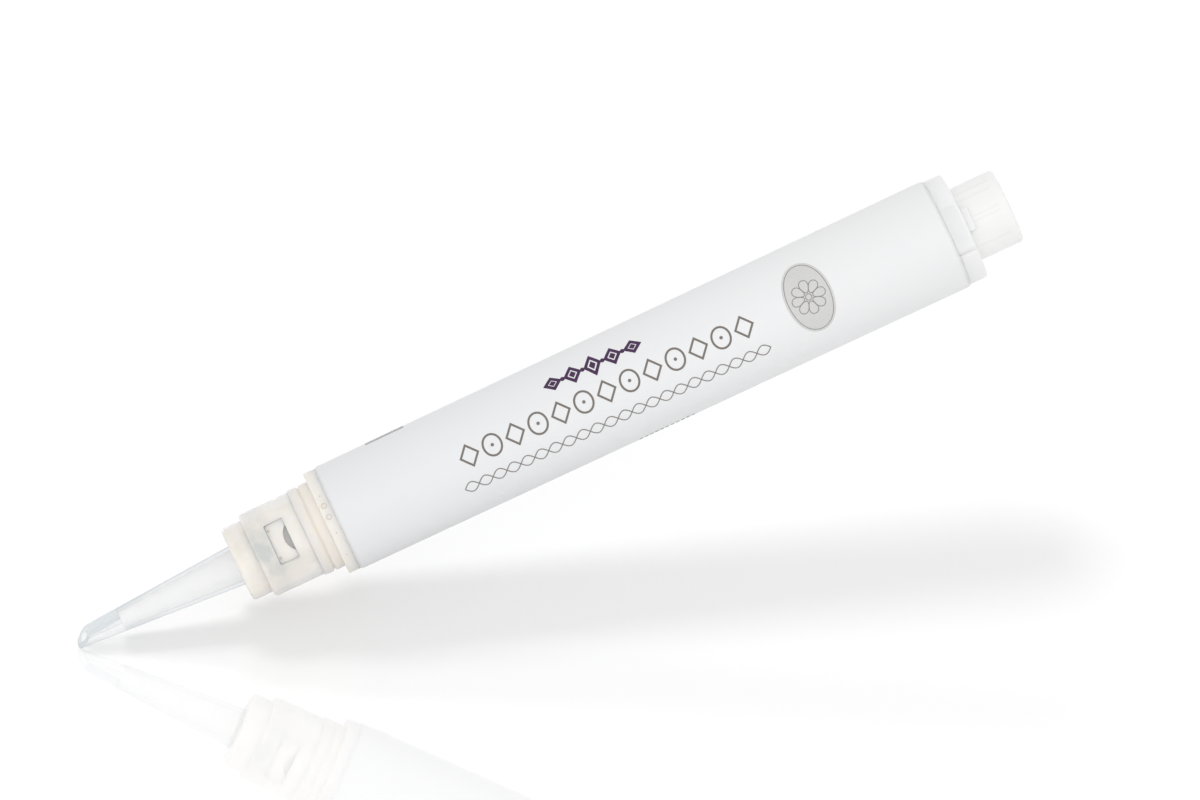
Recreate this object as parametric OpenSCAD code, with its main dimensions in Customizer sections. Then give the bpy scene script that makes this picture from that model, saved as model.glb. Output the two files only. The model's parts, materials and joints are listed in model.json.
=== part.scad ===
// Click pen for nail polish remover, lying along X with its nozzle towards -X.
// The origin is on the axis at the front face of the connector's flange, where a cap seats.
// Every turned piece is a profile of [x, radius] points turned about the X axis.

/* [Barrel] */
// Length of the barrel
barrel_len = 75.3; // [60:0.1:95]
// Wall of the barrel at its front
barrel_wall = 0.73; // [0.6:0.01:1.1]
// How much wider the barrel is at its rear than at its front
barrel_growth = 0.5; // [0.3:0.02:0.8]
// Thickness of the label film
label_t = 0.1; // [0.06:0.01:0.2]
// Bare rim of barrel left at each end of the label
label_inset = 0.2; // [0.1:0.05:1]

/* [Front connector] */
// Width of the seat for the cap's rim
seat_w = 0.95; // [0.75:0.05:1.3]
// Thickness of the flange
flange_t = 1.38; // [0.8:0.02:2]
// Step from the holder's sleeve up to the ring that the cap slides over
root_step = 0.175; // [0.05:0.005:0.4]
// Length of the ring that the cap slides over
root_len = 2.5; // [1.6:0.1:4]
// Width of the detent groove round that ring
detent_w = 0.3; // [0.1:0.05:0.6]
// Depth of the detent groove
detent_depth = 0.2; // [0.05:0.05:0.4]
// Length of the plug inside the barrel
plug_len = 5.2; // [4:0.1:8]
// Wall of the plug round its cup
plug_wall = 1.47; // [1.3:0.01:2.2]
// Diameter of the channel through the connector
channel_d = 2.6; // [1.6:0.1:3.4]
// Wall of the spigot under the tip holder
spigot_wall = 1.47; // [1.3:0.01:1.6]
// Length of the spigot
spigot_len = 5.6; // [5:0.1:6]
// Wire diameter of the connector's O-ring
seal_wire_d = 0.76; // [0.5:0.02:0.9]

/* [Snap joint of the tip holder] */
// Length of the window along the pen
window_len = 2.3; // [1.6:0.1:3]
// Width of the window
window_w = 4.8; // [3:0.1:5.6]
// Distance from the holder's rear end to the window
window_back = 1.7; // [1:0.1:2.5]
// Length of the snap lug along the pen
lug_len = 1.6; // [1:0.1:2]
// Width of the snap lug
lug_w = 3.8; // [2:0.1:4.4]
// Height of the snap lug over the spigot
lug_h = 0.7; // [0.3:0.05:0.9]
// How far the windows are turned up from the horizontal
window_turn = 4; // [0:1:20]

/* [Tip holder] */
// Wall of the holder's sleeve
sleeve_wall = 1.02; // [0.8:0.01:1.2]
// Length of the holder's sleeve
sleeve_len = 6.1; // [5.8:0.1:7]
// Side wall of the holder's front ring
ring_side = 0.845; // [0.6:0.005:1.1]
// Length of the holder's front ring
ring_len = 2.4; // [2.1:0.1:3.4]
// Thickness of the wall in front of the nozzle's flange
ring_wall = 1.2; // [0.6:0.1:1.4]
// Rounding of the holder's outer edges
holder_round = 0.45; // [0.1:0.05:0.55]

/* [Nozzle] */
// Length of the nozzle in front of its holder
nozzle_len = 20; // [12:0.5:30]
// Diameter of the nozzle where it leaves the holder
nozzle_root_d = 4.7; // [3.8:0.1:5.2]
// Diameter of the nozzle at its tip
tip_d = 2.05; // [1.8:0.05:2.8]
// Rounding of the tip's edge
tip_round = 0.3; // [0.1:0.05:0.4]
// Bore at the nozzle's base
nozzle_bore_root_d = 3.2; // [2.4:0.1:3.4]
// Bore where it ends behind the flat
nozzle_bore_tip_d = 1.6; // [1.1:0.1:1.9]
// Diameter of the outlet through the tip
outlet_d = 0.9; // [0.4:0.05:1]
// Length of the flat on the tip
flat_len = 5.7; // [3:0.1:8]
// Depth of the shoulder at which the flat begins
flat_step = 0.36; // [0.1:0.02:0.5]
// Slope of the flat to the axis
flat_slope = 6; // [3:0.5:8]
// How far behind the tip the bevel at the flat's end meets the axis
bevel_len = 1.1; // [0.8:0.05:1.4]
// Slope of the bevel to the axis
bevel_slope = 43; // [35:1:55]
// How far flat and bevel are turned from straight up towards the window side
flat_turn = 45; // [0:5:90]
// Diameter of the nozzle's base flange
nozzle_flange_d = 7; // [6:0.1:7.2]
// Thickness of the nozzle's base flange
nozzle_flange_t = 1; // [0.6:0.1:1.2]

/* [Check valve] */
// Thickness of the valve's flange
valve_flange_t = 0.8; // [0.4:0.1:1.2]
// Outside diameter of the valve's throat
throat_d = 3.2; // [2.4:0.1:3.6]
// Wall of the valve's throat and lips
valve_wall = 0.45; // [0.3:0.05:0.6]
// Length of the valve's round throat
throat_len = 0.9; // [0.5:0.1:1.4]
// Length of the two lips
bill_len = 1.6; // [1:0.1:2]
// Opening between the lips at rest
slit_w = 0.08; // [0.04:0.01:0.2]
// Room round the lips inside the retaining ring
bill_gap = 0.35; // [0.25:0.05:0.5]
// Wall of the retaining ring
retainer_wall = 0.5; // [0.3:0.05:0.6]

/* [Piston] */
// Length of the piston
piston_len = 6; // [5.5:0.1:7]
// Thickness of the piston's collars
collar_t = 0.6; // [0.4:0.1:1]
// Gap between the piston's collars and the barrel
collar_gap = 0.5; // [0.3:0.05:0.7]
// Depth of the waist that holds the piston's seal
waist_depth = 0.6; // [0.4:0.05:0.7]
// Thickness of the seal between its lips
seal_t = 0.5; // [0.3:0.05:0.8]
// Width of one wiping edge
lip_w = 0.5; // [0.3:0.05:0.8]
// Gap between the piston's skirt and the drive nut's nose
skirt_gap = 0.45; // [0.3:0.05:0.55]
// Wall in front of the rod's head
piston_front_t = 1; // [0.6:0.1:1.4]

/* [Screw rod] */
// Diameter over the thread
rod_d = 4; // [3.6:0.1:4.1]
// Depth of the thread
thread_depth = 0.6; // [0.4:0.05:0.8]
// Advance of the thread in one turn
thread_lead = 3; // [2.5:0.5:4]
// Depth of each of the rod's two flats
flat_depth = 0.45; // [0.3:0.05:0.55]
// Diameter of the rod's neck
neck_d = 2; // [1.4:0.1:2.2]
// Length of the rod's neck
neck_len = 1.4; // [1:0.1:1.6]
// Diameter of the rod's head
head_d = 3.2; // [2.6:0.1:3.6]
// Length of the rod's head
head_len = 1.1; // [0.7:0.1:1.3]
// Length of rod that is still in the rotor when the pen is empty
rod_grip = 2.9; // [2:0.1:4]
// Room behind the rod with the pen full and the button pressed
rod_spare = 0.7; // [0.3:0.1:1.5]

/* [Drive nut] */
// Wall of the nut's nose and tail over the rod's thread
nut_wall = 1.15; // [0.8:0.05:1.2]
// Length of the nose inside the piston
nut_nose_len = 2.6; // [2:0.1:3]
// Thickness of the nut's flange
nut_flange_t = 1; // [0.8:0.1:1.2]
// Length of the nut's tail inside the spring
nut_tail_len = 1.5; // [1:0.1:2]

/* [Click unit] */
// Travel of the button
press = 3; // [1.5:0.25:3]
// Number of ratchet steps in a turn
steps = 8; // [6:1:10]
// Height of a ratchet tooth
tooth_h = 0.8; // [0.4:0.1:1]
// Length of the rotor's hub in front of its wheel
hub_len = 2.7; // [2:0.1:3]
// Wall of the rotor's hub
hub_wall = 1.05; // [0.7:0.05:1.1]
// Thickness of the rotor's wheel
wheel_t = 1.5; // [1:0.1:2]
// Gap between the rotor's wheel and the mechanism sleeve
wheel_gap = 0.3; // [0.2:0.05:0.5]
// Wire diameter of the return spring
wire_d = 0.5; // [0.3:0.05:0.6]
// Gap between the return spring and the nut's tail inside it
coil_gap = 0.35; // [0.3:0.05:0.5]
// Turns of the return spring
coils = 5; // [4:0.5:6]
// Length of the fixed ring behind its teeth
cam_ring_len = 3; // [2:0.1:4]
// Wall of the fixed ring
cam_ring_wall = 0.97; // [0.85:0.01:1.3]
// Gap between the fixed ring and the cam tube's head
head_gap = 0.2; // [0.15:0.05:0.3]
// Height of the cam tube's head over the tube
cam_head_step = 0.75; // [0.5:0.05:0.9]
// Length of the cam tube's head behind its teeth
cam_head_len = 2.4; // [1.5:0.1:2.6]
// Wall of the cam tube
cam_wall = 0.55; // [0.4:0.05:0.7]
// Gap between the cam tube and the rod
rod_gap = 0.2; // [0.15:0.05:0.3]
// Width of the moulding slot along the cam tube
slot_w = 0.56; // [0.3:0.02:0.8]
// How far the slot is turned down from the horizontal
slot_turn = 6; // [0:1:30]

/* [Mechanism sleeve] */
// Wall of the mechanism sleeve
mech_wall = 0.67; // [0.55:0.01:0.9]
// Thickness of the lip in front of the drive nut
mech_lip_t = 0.6; // [0.4:0.1:1]
// Height of that lip
mech_lip_h = 0.5; // [0.4:0.05:1]
// Length of the inner guide for the cam tube
guide_len = 2; // [1:0.1:3]
// Wall of the neck inside the end plug
mech_neck_wall = 0.45; // [0.4:0.01:0.55]

/* [End plug] */
// Step from the barrel's rear down to the end plug
end_step = 0.08; // [0.02:0.01:0.2]
// Length of the end plug behind the barrel
end_len = 2.2; // [2:0.1:3]
// Thickness of the rim round the button
end_rim_t = 0.5; // [0.3:0.05:0.6]
// Length of the end plug's window along the pen
end_window_len = 1.3; // [0.8:0.05:1.4]
// Width of the end plug's window
end_window_w = 4.2; // [2:0.1:5]
// How far the end plug's window is turned up from the horizontal
end_window_turn = 5; // [0:1:20]
// Height of the tab beside the button
tab_h = 0.9; // [0.4:0.05:1.2]
// Width of the tab beside the button
tab_w = 2.7; // [1.5:0.1:3.5]
// Thickness of the tab
tab_t = 0.7; // [0.4:0.05:0.9]
// Width of the moulding notch beside the window
notch_w = 0.45; // [0.3:0.05:0.8]
// Depth of the moulding notch
notch_depth = 0.3; // [0.1:0.05:0.5]
// How far the notch is turned down from the horizontal
notch_turn = 27; // [25:1:60]
// Rounding of the end plug's outer edge
end_round = 0.25; // [0.1:0.05:0.4]

/* [Push button] */
// Length of the button that stands out
button_out = 5.4; // [4:0.1:7]
// Side wall of the button
button_wall = 1.025; // [0.9:0.005:1.2]
// Thickness of the button's end wall
button_end_t = 1.1; // [0.8:0.1:1.5]
// Height of the foot that keeps the button in
foot_step = 0.225; // [0.15:0.005:0.35]
// Length of the foot
foot_len = 0.95; // [0.7:0.05:1.2]
// Length of the seat between button and cam tube
seat_len = 1; // [0.6:0.1:1.4]
// Rounding of the button's rim
button_round = 0.45; // [0.2:0.05:0.8]

/* [Fits] */
// Radial gap of pieces that are pressed or clipped together
fit_gap = 0.03; // [0.02:0.01:0.05]
// Radial gap of pieces that slide or turn
run_gap = 0.1; // [0.08:0.01:0.12]
// Radial gap of the piston's lips in the barrel
wipe_gap = 0.04; // [0.02:0.01:0.06]
// Gap between the two threads
thread_gap = 0.2; // [0.15:0.01:0.22]
// Gap between facing ratchet teeth
crown_gap = 0.15; // [0.1:0.01:0.2]
// Gap of pieces that stop against each other
stop_gap = 0.3; // [0.2:0.02:0.3]

/* [Hidden] */
$fn = 96;
// How far every cut runs past the face that it opens
overrun = barrel_len / 100;
// Points on a rounded edge, sides and rows of the thread, sides and rings of the wire
edge_points = 6;
thread_sides = 16;
thread_rows = 8;
wire_sides = 6;
wire_rings = 16;
// Share of the mean pitch that the end turns of the spring are closed by
closing_share = 0.3;
// Share of the window's spare length that lies behind the snap lug, and of the lug's height that
// its front edge has
lug_play_share = 0.75;
lug_toe_share = 0.25;

// The diameters of the click unit, from the rod outwards
across_flats = rod_d - 2 * flat_depth;
nut_d = rod_d + 2 * nut_wall;
hub_d = rod_d + 2 * run_gap + 2 * hub_wall;
coil_d = nut_d + 2 * coil_gap + wire_d;
cam_bore_d = rod_d + 2 * rod_gap;
cam_tube_d = cam_bore_d + 2 * cam_wall;
cam_head_d = cam_tube_d + 2 * cam_head_step;
cam_ring_bore_d = cam_head_d + 2 * head_gap;
mech_bore_d = cam_ring_bore_d + 2 * cam_ring_wall + 2 * fit_gap;
mech_lip_bore_d = mech_bore_d - 2 * mech_lip_h;
mech_neck_d = mech_bore_d + 2 * mech_neck_wall;
mech_d = mech_bore_d + 2 * mech_wall;
wheel_d = mech_bore_d - 2 * wheel_gap;
foot_d = mech_bore_d - 2 * run_gap;
button_d = foot_d - 2 * foot_step;
button_bore_d = button_d - 2 * button_wall;

// The diameters of the barrel round the mechanism sleeve, and of the piston and plug in its bore
bore_d = mech_d + 2 * fit_gap;
barrel_front_d = bore_d + 2 * barrel_wall;
barrel_rear_d = barrel_front_d + barrel_growth;
end_d = barrel_rear_d - 2 * end_step;
collar_d = bore_d - 2 * collar_gap;
piston_waist_d = collar_d - 2 * waist_depth;
skirt_bore_d = nut_d + 2 * skirt_gap;
plug_d = bore_d - 2 * fit_gap;
cup_d = plug_d - 2 * plug_wall;

// The diameters of the front end, from the valve outwards
retainer_bore_d = throat_d + 2 * bill_gap;
valve_d = retainer_bore_d + 2 * retainer_wall;
pocket_d = valve_d + 2 * fit_gap;
spigot_d = pocket_d + 2 * spigot_wall;
sleeve_d = spigot_d + 2 * fit_gap + 2 * sleeve_wall;
root_d = sleeve_d + 2 * root_step;
flange_d = root_d + 2 * seat_w;
ring_d = nozzle_flange_d + 2 * fit_gap + 2 * ring_side;

// The flange, plug and spigot, from the cap's seat at zero
plug_front = flange_t;
plug_rear = plug_front + plug_len;
spigot_front = -root_len - spigot_len;
seal_x = plug_front + plug_len / 2;
seal_mean_r = bore_d / 2 - wipe_gap - seal_wire_d / 2;

// The tip holder, gasket and nozzle in front of the root ring
holder_rear = -root_len;
step_x = holder_rear - sleeve_len;
ring_front = step_x - ring_len;
flange_front = ring_front + ring_wall;
flange_rear = flange_front + nozzle_flange_t;
window_rear = holder_rear - window_back;
window_front = window_rear - window_len;
lug_rear = window_rear - (window_len - lug_len) * lug_play_share;
lug_front = lug_rear - lug_len;
nozzle_tip = ring_front - nozzle_len;
taper = atan((nozzle_root_d - tip_d) / 2 / (nozzle_len - tip_round));
shoulder_x = nozzle_tip + flat_len;
shoulder_r = tip_d / 2 + (flat_len - tip_round) * tan(taper);

// The valve pocket behind the spigot's front face
retainer_len = throat_len + bill_len + bill_gap;
pocket_depth = retainer_len + valve_flange_t;
valve_seat = spigot_front + pocket_depth;
valve_front = valve_seat - valve_flange_t;

// The barrel
barrel_front = flange_t;
barrel_rear = barrel_front + barrel_len;
label_gap = fit_gap / 2;

// The travel of the piston from full to empty. The rod needs that length twice, in front of the
// nut and behind the rotor, so it is half of what the other pieces leave free in the barrel.
front_stack = plug_len + piston_len + mech_lip_t + nut_flange_t + nut_tail_len + press + 3 * stop_gap;
rear_stack = rod_grip + rod_spare + press + button_end_t - button_out - end_len;
stroke = (barrel_len - front_stack - rear_stack) / 2;

// The piston at rest, with the reservoir full
piston_empty = plug_rear + stop_gap;
piston_front = piston_empty + stroke;
piston_rear = piston_front + piston_len;
lip_d = bore_d - 2 * wipe_gap;
head_front = piston_front + piston_front_t + run_gap;
head_rear = head_front + head_len;
thread_front = head_rear + neck_len;

// The drive nut and the sleeve that carries it
mech_front = piston_rear + stop_gap;
nut_flange_front = mech_front + mech_lip_t;
nut_flange_rear = nut_flange_front + nut_flange_t;
nut_front = nut_flange_front - nut_nose_len;
nut_rear = nut_flange_rear + nut_tail_len;
nut_flange_d = mech_bore_d - 2 * fit_gap;

// The rotor, rings and cam tube behind the nut, with the button out
rotor_front = nut_rear + press + stop_gap;
rod_rear = rotor_front + rod_grip + stroke;
wheel_front = rotor_front + hub_len;
wheel_rear = wheel_front + wheel_t;
crown_tip = wheel_rear + tooth_h;
crown_x = crown_tip + crown_gap;
cam_base = crown_x + tooth_h;
ring_rear = cam_base + cam_ring_len;
head_end = cam_base + cam_head_len;

// The end plug and the button
end_rear = barrel_rear + end_len;
rim_front = end_rear - end_rim_t;
neck_rear = rim_front - fit_gap;
end_window_rear = rim_front;
end_window_front = end_window_rear - end_window_len;
button_rear = end_rear + button_out;
foot_rear = rim_front - fit_gap;
foot_front = foot_rear - foot_len;
cup_rear = button_rear - button_end_t;
cam_rear = cup_rear - fit_gap;
seat_rear = foot_rear;
seat_front = seat_rear - seat_len;

// Points of an arc about [x, r], from angle a0 to a1
function arc(x, r, radius, a0, a1) = [
    for (i = [0 : edge_points])
        let (a = a0 + (a1 - a0) * i / edge_points)
            [x + radius * cos(a), r + radius * sin(a)]
];

// A profile of [x, radius] points turned about the X axis
module turned(profile) {
    rotate([0, 90, 0])
        rotate_extrude()
            polygon([for (p = profile) [p[1], p[0]]]);
}

// A plain tube from x0 to x1
module tube(x0, x1, outer_d, inner_d) {
    turned([[x0, inner_d / 2], [x1, inner_d / 2], [x1, outer_d / 2], [x0, outer_d / 2]]);
}

// A box on the -Y side, turned up about the axis, between two radii
module side_box(x0, x1, width, r0, r1, turn) {
    rotate([-turn, 0, 0])
        translate([x0, -r1, -width / 2])
            cube([x1 - x0, r1 - r0, width]);
}

// Saw teeth on a ring, standing from x towards dir and rooted in the ring behind it
module crown(x, outer_d, inner_d, dir) {
    width = PI * inner_d / steps;
    tip = dir * tooth_h;
    root = -tip / 2;
    intersection() {
        tube(x + min(root, tip), x + max(root, tip), outer_d, inner_d);
        for (i = [0 : steps - 1])
            rotate([i * 360 / steps, 0, 0])
                translate([x, 0, 0])
                    linear_extrude(outer_d)
                        polygon([[root, 0], [0, 0], [tip, width], [root, width]]);
    }
}

// Rings of points about the X axis, joined into one closed skin
module ringed(rings) {
    sides = len(rings[0]);
    last = len(rings) - 1;
    polyhedron(
        points = [for (ring = rings) each ring],
        faces = [
            [for (j = [0 : sides - 1]) j],
            [for (j = [sides - 1 : -1 : 0]) last * sides + j],
            for (i = [0 : last - 1], j = [0 : sides - 1])
                let (a = i * sides + j, b = i * sides + (j + 1) % sides)
                    each [[a, a + sides, b + sides], [a, b + sides, b]]
        ]
    );
}

// A ring of the rod at x, round where r is given and threaded where it isn't
function rod_ring(x, r, grow, flats) = [
    for (j = [0 : thread_sides - 1])
        let (
            a = 360 * j / thread_sides,
            full = is_undef(r)
                ? (rod_d - thread_depth) / 2 + grow
                    + thread_depth / 2 * cos(360 * x / thread_lead - a)
                : r,
            side = flats && sin(a) != 0 ? min(full, across_flats / 2 / abs(sin(a))) : full
        )
            [x, side * cos(a), side * sin(a)]
];

// The rows of the thread from x0 to x1
function thread_rings(x0, x1, grow, flats) = [
    let (n = ceil((x1 - x0) / thread_lead * thread_rows))
        for (i = [0 : n]) rod_ring(x0 + (x1 - x0) * i / n, undef, grow, flats)
];

module nozzle() {
    color([0.9, 0.92, 0.92, 0.5])
    difference() {
        turned(concat(
            [
                [flange_rear, nozzle_bore_root_d / 2],
                [shoulder_x, nozzle_bore_tip_d / 2],
                [shoulder_x, outlet_d / 2],
                [nozzle_tip, outlet_d / 2]
            ],
            arc(nozzle_tip + tip_round, tip_d / 2 - tip_round, tip_round, 180, 90 + taper),
            [
                [ring_front, nozzle_root_d / 2],
                [flange_front, nozzle_root_d / 2],
                [flange_front, nozzle_flange_d / 2],
                [flange_rear, nozzle_flange_d / 2]
            ]
        ));
        rotate([flat_turn, 0, 0]) {
            translate([shoulder_x, 0, shoulder_r - flat_step])
                rotate([0, -flat_slope, 0])
                    translate([-flat_len - overrun, -nozzle_root_d / 2, 0])
                        cube([flat_len + overrun, nozzle_root_d, nozzle_root_d]);
            translate([nozzle_tip + bevel_len, 0, 0])
                rotate([0, -bevel_slope, 0])
                    translate([-nozzle_root_d / 2, -nozzle_root_d / 2, 0])
                        cube(nozzle_root_d);
        }
    }
}

module nozzle_gasket() {
    color([0.93, 0.92, 0.88])
    tube(flange_rear, spigot_front, nozzle_flange_d, nozzle_bore_root_d);
}

module tip_holder() {
    pocket_r = nozzle_flange_d / 2 + fit_gap;
    holder_bore_r = spigot_d / 2 + fit_gap;
    color([0.88, 0.88, 0.86, 0.6])
    difference() {
        turned(concat(
            [
                [ring_front, nozzle_root_d / 2 + fit_gap],
                [flange_front, nozzle_root_d / 2 + fit_gap],
                [flange_front, pocket_r],
                [spigot_front - fit_gap, pocket_r],
                [spigot_front - fit_gap, holder_bore_r],
                [holder_rear, holder_bore_r],
                [holder_rear, sleeve_d / 2]
            ],
            arc(step_x + holder_round, sleeve_d / 2 - holder_round, holder_round, 90, 180),
            [[step_x, ring_d / 2]],
            arc(ring_front + holder_round, ring_d / 2 - holder_round, holder_round, 90, 180)
        ));
        for (side = [0, 180])
            rotate([side, 0, 0])
                side_box(window_front, window_rear, window_w, 0, sleeve_d, window_turn);
    }
}

module valve_retainer() {
    color([0.9, 0.9, 0.88])
    tube(spigot_front + fit_gap, valve_front, valve_d, retainer_bore_d);
}

// The lips of the valve, inset from the round throat and drawn to a flat edge, longer by run at both ends
module bill(inset, edge, run) {
    x0 = valve_front - throat_len + run;
    hull() {
        tube(x0 - fit_gap - run, x0, throat_d - 2 * inset, 0);
        translate([x0 - bill_len - 2 * run, -throat_d / 2 + inset, -edge / 2])
            cube([fit_gap + run, throat_d - 2 * inset, edge]);
    }
}

module check_valve() {
    color([0.93, 0.93, 0.92])
    union() {
        turned([
            [valve_seat, throat_d / 2 - valve_wall],
            [valve_seat, valve_d / 2],
            [valve_front, valve_d / 2],
            [valve_front, throat_d / 2],
            [valve_front - throat_len, throat_d / 2],
            [valve_front - throat_len, throat_d / 2 - valve_wall]
        ]);
        difference() {
            bill(fit_gap, slit_w + valve_wall, 0);
            bill(valve_wall - fit_gap, slit_w, fit_gap);
        }
    }
}

module front_connector() {
    detent_x = -root_len / 2;
    groove_r = seal_mean_r - seal_wire_d / 2;
    groove_w = seal_wire_d + 2 * fit_gap;
    cone_len = (cup_d - channel_d) / 2;
    color([0.94, 0.91, 0.82])
    union() {
        turned([
            [spigot_front, pocket_d / 2],
            [valve_seat, pocket_d / 2],
            [valve_seat, channel_d / 2],
            [plug_front - cone_len, channel_d / 2],
            [plug_front, cup_d / 2],
            [plug_rear, cup_d / 2],
            [plug_rear, plug_d / 2],
            [seal_x + groove_w / 2, plug_d / 2],
            [seal_x + groove_w / 2, groove_r],
            [seal_x - groove_w / 2, groove_r],
            [seal_x - groove_w / 2, plug_d / 2],
            [plug_front, plug_d / 2],
            [plug_front, flange_d / 2],
            [0, flange_d / 2],
            [0, root_d / 2],
            [detent_x + detent_w / 2, root_d / 2],
            [detent_x + detent_w / 2, root_d / 2 - detent_depth],
            [detent_x - detent_w / 2, root_d / 2 - detent_depth],
            [detent_x - detent_w / 2, root_d / 2],
            [-root_len, root_d / 2],
            [-root_len, spigot_d / 2],
            [spigot_front, spigot_d / 2]
        ]);
        for (side = [0, 180])
            rotate([side, 0, 0])
                intersection() {
                    turned([
                        [lug_front, spigot_d / 2 - lug_h],
                        [lug_rear, spigot_d / 2 - lug_h],
                        [lug_rear, spigot_d / 2 + lug_h],
                        [(lug_front + lug_rear) / 2, spigot_d / 2 + lug_h],
                        [lug_front, spigot_d / 2 + lug_h * lug_toe_share]
                    ]);
                    side_box(lug_front, lug_rear, lug_w, 0, sleeve_d, window_turn);
                }
    }
}

module connector_seal() {
    color([0.25, 0.25, 0.26])
    translate([seal_x, 0, 0])
        rotate([0, 90, 0])
            rotate_extrude()
                translate([seal_mean_r, 0])
                    circle(d = seal_wire_d);
}

module barrel() {
    color([0.95, 0.95, 0.95])
    turned([
        [barrel_front, bore_d / 2],
        [barrel_rear, bore_d / 2],
        [barrel_rear, barrel_rear_d / 2],
        [barrel_front, barrel_front_d / 2]
    ]);
}

module label() {
    x0 = barrel_front + label_inset;
    x1 = barrel_rear - label_inset;
    draft = (barrel_rear_d - barrel_front_d) / 2 / barrel_len;
    r0 = barrel_front_d / 2 + draft * label_inset + label_gap;
    r1 = barrel_rear_d / 2 - draft * label_inset + label_gap;
    color([0.93, 0.93, 0.95])
    turned([[x0, r0], [x1, r1], [x1, r1 + label_t], [x0, r0 + label_t]]);
}

module piston_seal() {
    x0 = piston_front + collar_t + fit_gap;
    x1 = piston_rear - collar_t - fit_gap;
    inner_r = piston_waist_d / 2 + fit_gap;
    lip_depth = lip_d / 2 - inner_r - seal_t;
    color([0.82, 0.83, 0.85])
    turned([
        [x0, inner_r],
        [x0, lip_d / 2],
        [x0 + lip_w, lip_d / 2],
        [x0 + lip_w + lip_depth, inner_r + seal_t],
        [x1 - lip_w - lip_depth, inner_r + seal_t],
        [x1 - lip_w, lip_d / 2],
        [x1, lip_d / 2],
        [x1, inner_r]
    ]);
}

module piston_core() {
    socket_r = head_d / 2 + run_gap;
    socket_rear = head_rear + run_gap;
    skirt_front = (socket_rear + thread_front) / 2;
    color([0.92, 0.92, 0.92])
    turned([
        [piston_front, 0],
        [piston_front, collar_d / 2],
        [piston_front + collar_t, collar_d / 2],
        [piston_front + collar_t, piston_waist_d / 2],
        [piston_rear - collar_t, piston_waist_d / 2],
        [piston_rear - collar_t, collar_d / 2],
        [piston_rear, collar_d / 2],
        [piston_rear, skirt_bore_d / 2],
        [skirt_front, skirt_bore_d / 2],
        [skirt_front, neck_d / 2 + run_gap],
        [socket_rear, neck_d / 2 + run_gap],
        [socket_rear, socket_r],
        [head_front - run_gap, socket_r],
        [head_front - run_gap, 0]
    ]);
}

module screw_rod() {
    chamfer = (head_d - neck_d) / 4;
    color([0.95, 0.95, 0.94])
    ringed(concat(
        [
            rod_ring(head_front, head_d / 2 - chamfer, 0, false),
            rod_ring(head_front + chamfer, head_d / 2, 0, false),
            rod_ring(head_rear, head_d / 2, 0, false),
            rod_ring(head_rear, neck_d / 2, 0, false),
            rod_ring(thread_front, neck_d / 2, 0, false)
        ],
        thread_rings(thread_front, rod_rear, 0, true)
    ));
}

module drive_nut() {
    color([0.75, 0.77, 0.8])
    difference() {
        turned([
            [nut_front, 0],
            [nut_front, nut_d / 2],
            [nut_flange_front, nut_d / 2],
            [nut_flange_front, nut_flange_d / 2],
            [nut_flange_rear, nut_flange_d / 2],
            [nut_flange_rear, nut_d / 2],
            [nut_rear, nut_d / 2],
            [nut_rear, 0]
        ]);
        ringed(thread_rings(nut_front - overrun, nut_rear + overrun, thread_gap, false));
    }
}

module return_spring() {
    x0 = nut_flange_rear + wire_d / 2 + fit_gap;
    x1 = wheel_front - wire_d / 2 - fit_gap;
    n = coils * wire_rings;
    color([0.7, 0.71, 0.73])
    ringed([
        for (i = [0 : n])
            let (
                u = i / n,
                a = 360 * coils * u,
                x = x0 + (x1 - x0) * (u - closing_share * sin(360 * u) / (2 * PI))
            )
                [for (j = [0 : wire_sides - 1])
                    let (
                        b = -360 * j / wire_sides,
                        r = coil_d / 2 + wire_d / 2 * cos(b)
                    )
                        [x + wire_d / 2 * sin(b), r * cos(a), r * sin(a)]]
    ]);
}

module ratchet_rotor() {
    hole_r = rod_d / 2 + run_gap;
    hole_flats = across_flats + 2 * run_gap;
    color([0.55, 0.68, 0.85])
    difference() {
        union() {
            tube(rotor_front, wheel_front, hub_d, 0);
            tube(wheel_front, wheel_rear, wheel_d, 0);
            crown(wheel_rear, wheel_d, cam_bore_d, 1);
        }
        intersection() {
            tube(rotor_front - overrun, crown_tip + overrun, 2 * hole_r, 0);
            translate([rotor_front - overrun, -rod_d, -hole_flats / 2])
                cube([crown_tip - rotor_front + 2 * overrun, 2 * rod_d, hole_flats]);
        }
    }
}

module fixed_cam_ring() {
    ring_d_out = mech_bore_d - 2 * fit_gap;
    color([0.85, 0.85, 0.82])
    union() {
        tube(cam_base, ring_rear, ring_d_out, cam_ring_bore_d);
        crown(cam_base, ring_d_out, cam_ring_bore_d, -1);
    }
}

module cam_tube() {
    color([0.96, 0.95, 0.92, 0.8])
    difference() {
        union() {
            tube(cam_base, head_end, cam_head_d, cam_bore_d);
            crown(cam_base, cam_head_d, cam_bore_d, -1);
            tube(head_end, cam_rear, cam_tube_d, cam_bore_d);
            tube(seat_front, seat_rear, button_bore_d - 2 * fit_gap, cam_bore_d);
        }
        side_box(seat_rear + seat_len, cam_rear + overrun, slot_w, 0, cam_tube_d, -slot_turn);
    }
}

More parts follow.
